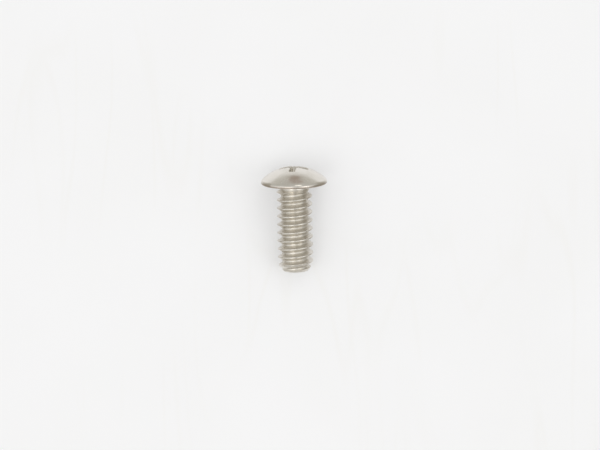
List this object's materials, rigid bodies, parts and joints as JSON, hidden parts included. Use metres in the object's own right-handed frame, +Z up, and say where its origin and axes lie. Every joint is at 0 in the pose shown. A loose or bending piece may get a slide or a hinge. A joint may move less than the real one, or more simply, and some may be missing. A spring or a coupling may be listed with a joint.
{
  "type": "machine screw",
  "caption": "Short machine screw with a wide low domed head, a cross recess, a fully threaded shank and a short tapered point, lying on its side.",
  "frame": {"origin": "centre of the bounding box's underside, on the surface the screw lies on", "axes": "+Y towards the head, +Z up; the screw's axis lies in the YZ plane and rises 11.00 degrees towards the head, because the head's rim and the last full turn of the thread rest on one surface"},
  "size_m": [0.0064, 0.0102, 0.0062],
  "materials": {
    "plated_steel": "bright nickel plate, lightly handled, warm grey"
  },
  "bodies": {
    "root": {"screw": "plated_steel"}
  },
  "joints": []
}
